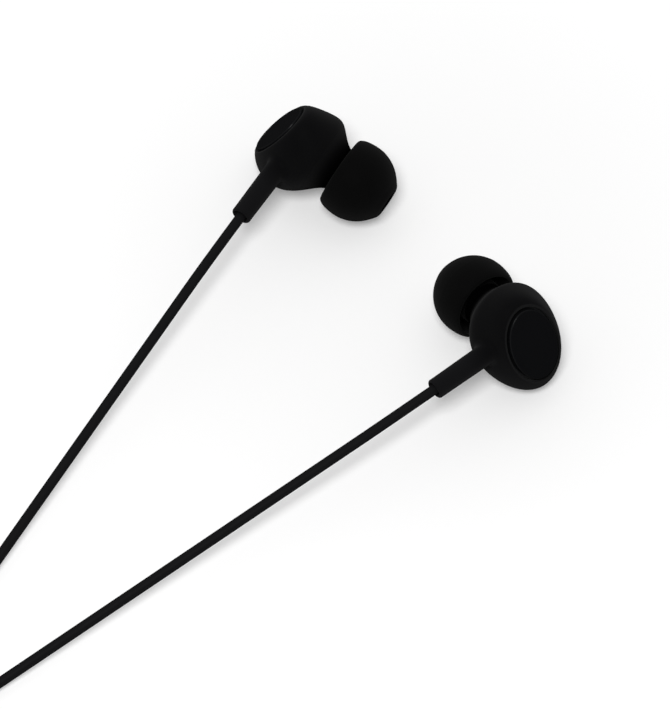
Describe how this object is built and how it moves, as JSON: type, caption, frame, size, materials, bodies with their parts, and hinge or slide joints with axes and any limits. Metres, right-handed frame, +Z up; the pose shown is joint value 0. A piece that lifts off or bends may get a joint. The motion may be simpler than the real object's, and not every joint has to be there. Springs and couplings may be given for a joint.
{
  "type": "wired in-ear earphones",
  "caption": "Wired in-ear earphones: oval housings with tilted nozzles and silicone tips on straight stems, round cable, splitter and straight stereo plug.",
  "frame": {"origin": "on the surface that the earphones lie on, under the middle of the two earbuds' box", "axes": "+Z up from the surface; +Y the long way of the two earbuds' box, away from the cables; +X towards the right earbud"},
  "size_m": [0.1299, 0.1227, 0.016],
  "materials": {
    "housing": "soft-touch matt black",
    "cap": "fine satin black",
    "silicone": "matt black silicone",
    "cable": "satin black jacket",
    "grommet": "matt black",
    "splitter": "matt black",
    "mesh": "fine dark screen",
    "steel": "zinc plated",
    "magnet": "nickel plated",
    "copper": "enamelled copper",
    "wire": "enamelled wire",
    "film": "clear film",
    "frame": "moulded black",
    "board": "green solder mask",
    "gold": "gold plated",
    "insulator": "moulded black"
  },
  "bodies": {
    "set": {"branch_coil": "cable", "left_cable_crimp": "steel", "left_cable_grommet": "grommet", "left_cable_lead": "cable", "left_cable_tail": "cable", "left_cap": "cap", "left_driver_frame": "frame", "left_driver_grille": "steel", "left_driver_magnet": "magnet", "left_driver_pole_plate": "steel", "left_driver_yoke": "steel", "left_front_shell": "housing", "left_lead_wires": "wire", "left_nozzle_mesh": "mesh", "left_rear_shell": "housing", "left_terminal_board": "board", "plug_boot": "grommet", "plug_core": "frame", "plug_front_insulator": "insulator", "plug_handle": "splitter", "plug_rear_insulator": "insulator", "plug_ring": "gold", "plug_sleeve": "gold", "plug_tip": "gold", "right_cable_crimp": "steel", "right_cable_grommet": "grommet", "right_cable_lead": "cable", "right_cable_tail": "cable", "right_cap": "cap", "right_driver_frame": "frame", "right_driver_grille": "steel", "right_driver_magnet": "magnet", "right_driver_pole_plate": "steel", "right_driver_yoke": "steel", "right_front_shell": "housing", "right_lead_wires": "wire", "right_nozzle_mesh": "mesh", "right_rear_shell": "housing", "right_terminal_board": "board", "splitter_bottom_shell": "splitter", "splitter_top_shell": "splitter", "trunk_cable_end": "cable", "trunk_cable_start": "cable", "trunk_coil": "cable"},
    "left_tip": {"left_ear_tip": "silicone"},
    "right_tip": {"right_ear_tip": "silicone"},
    "left_cone": {"left_voice_coil": "copper", "left_diaphragm": "film"},
    "right_cone": {"right_voice_coil": "copper", "right_diaphragm": "film"}
  },
  "joints": [
    {"name": "left_tip_pull", "type": "slide", "parent": "set", "child": "left_tip", "axis": [0.8246, -0.5133, -0.2377], "range_m": [0, 0.008]},
    {"name": "left_cone_travel", "type": "slide", "parent": "set", "child": "left_cone", "axis": [0.8246, -0.5133, -0.2377], "range_m": [-0.00015, 0.00015], "stiffness_N_per_m": 20},
    {"name": "right_tip_pull", "type": "slide", "parent": "set", "child": "right_tip", "axis": [-0.6113, 0.7549, -0.2377], "range_m": [0, 0.008]},
    {"name": "right_cone_travel", "type": "slide", "parent": "set", "child": "right_cone", "axis": [-0.6113, 0.7549, -0.2377], "range_m": [-0.00015, 0.00015], "stiffness_N_per_m": 20}
  ]
}
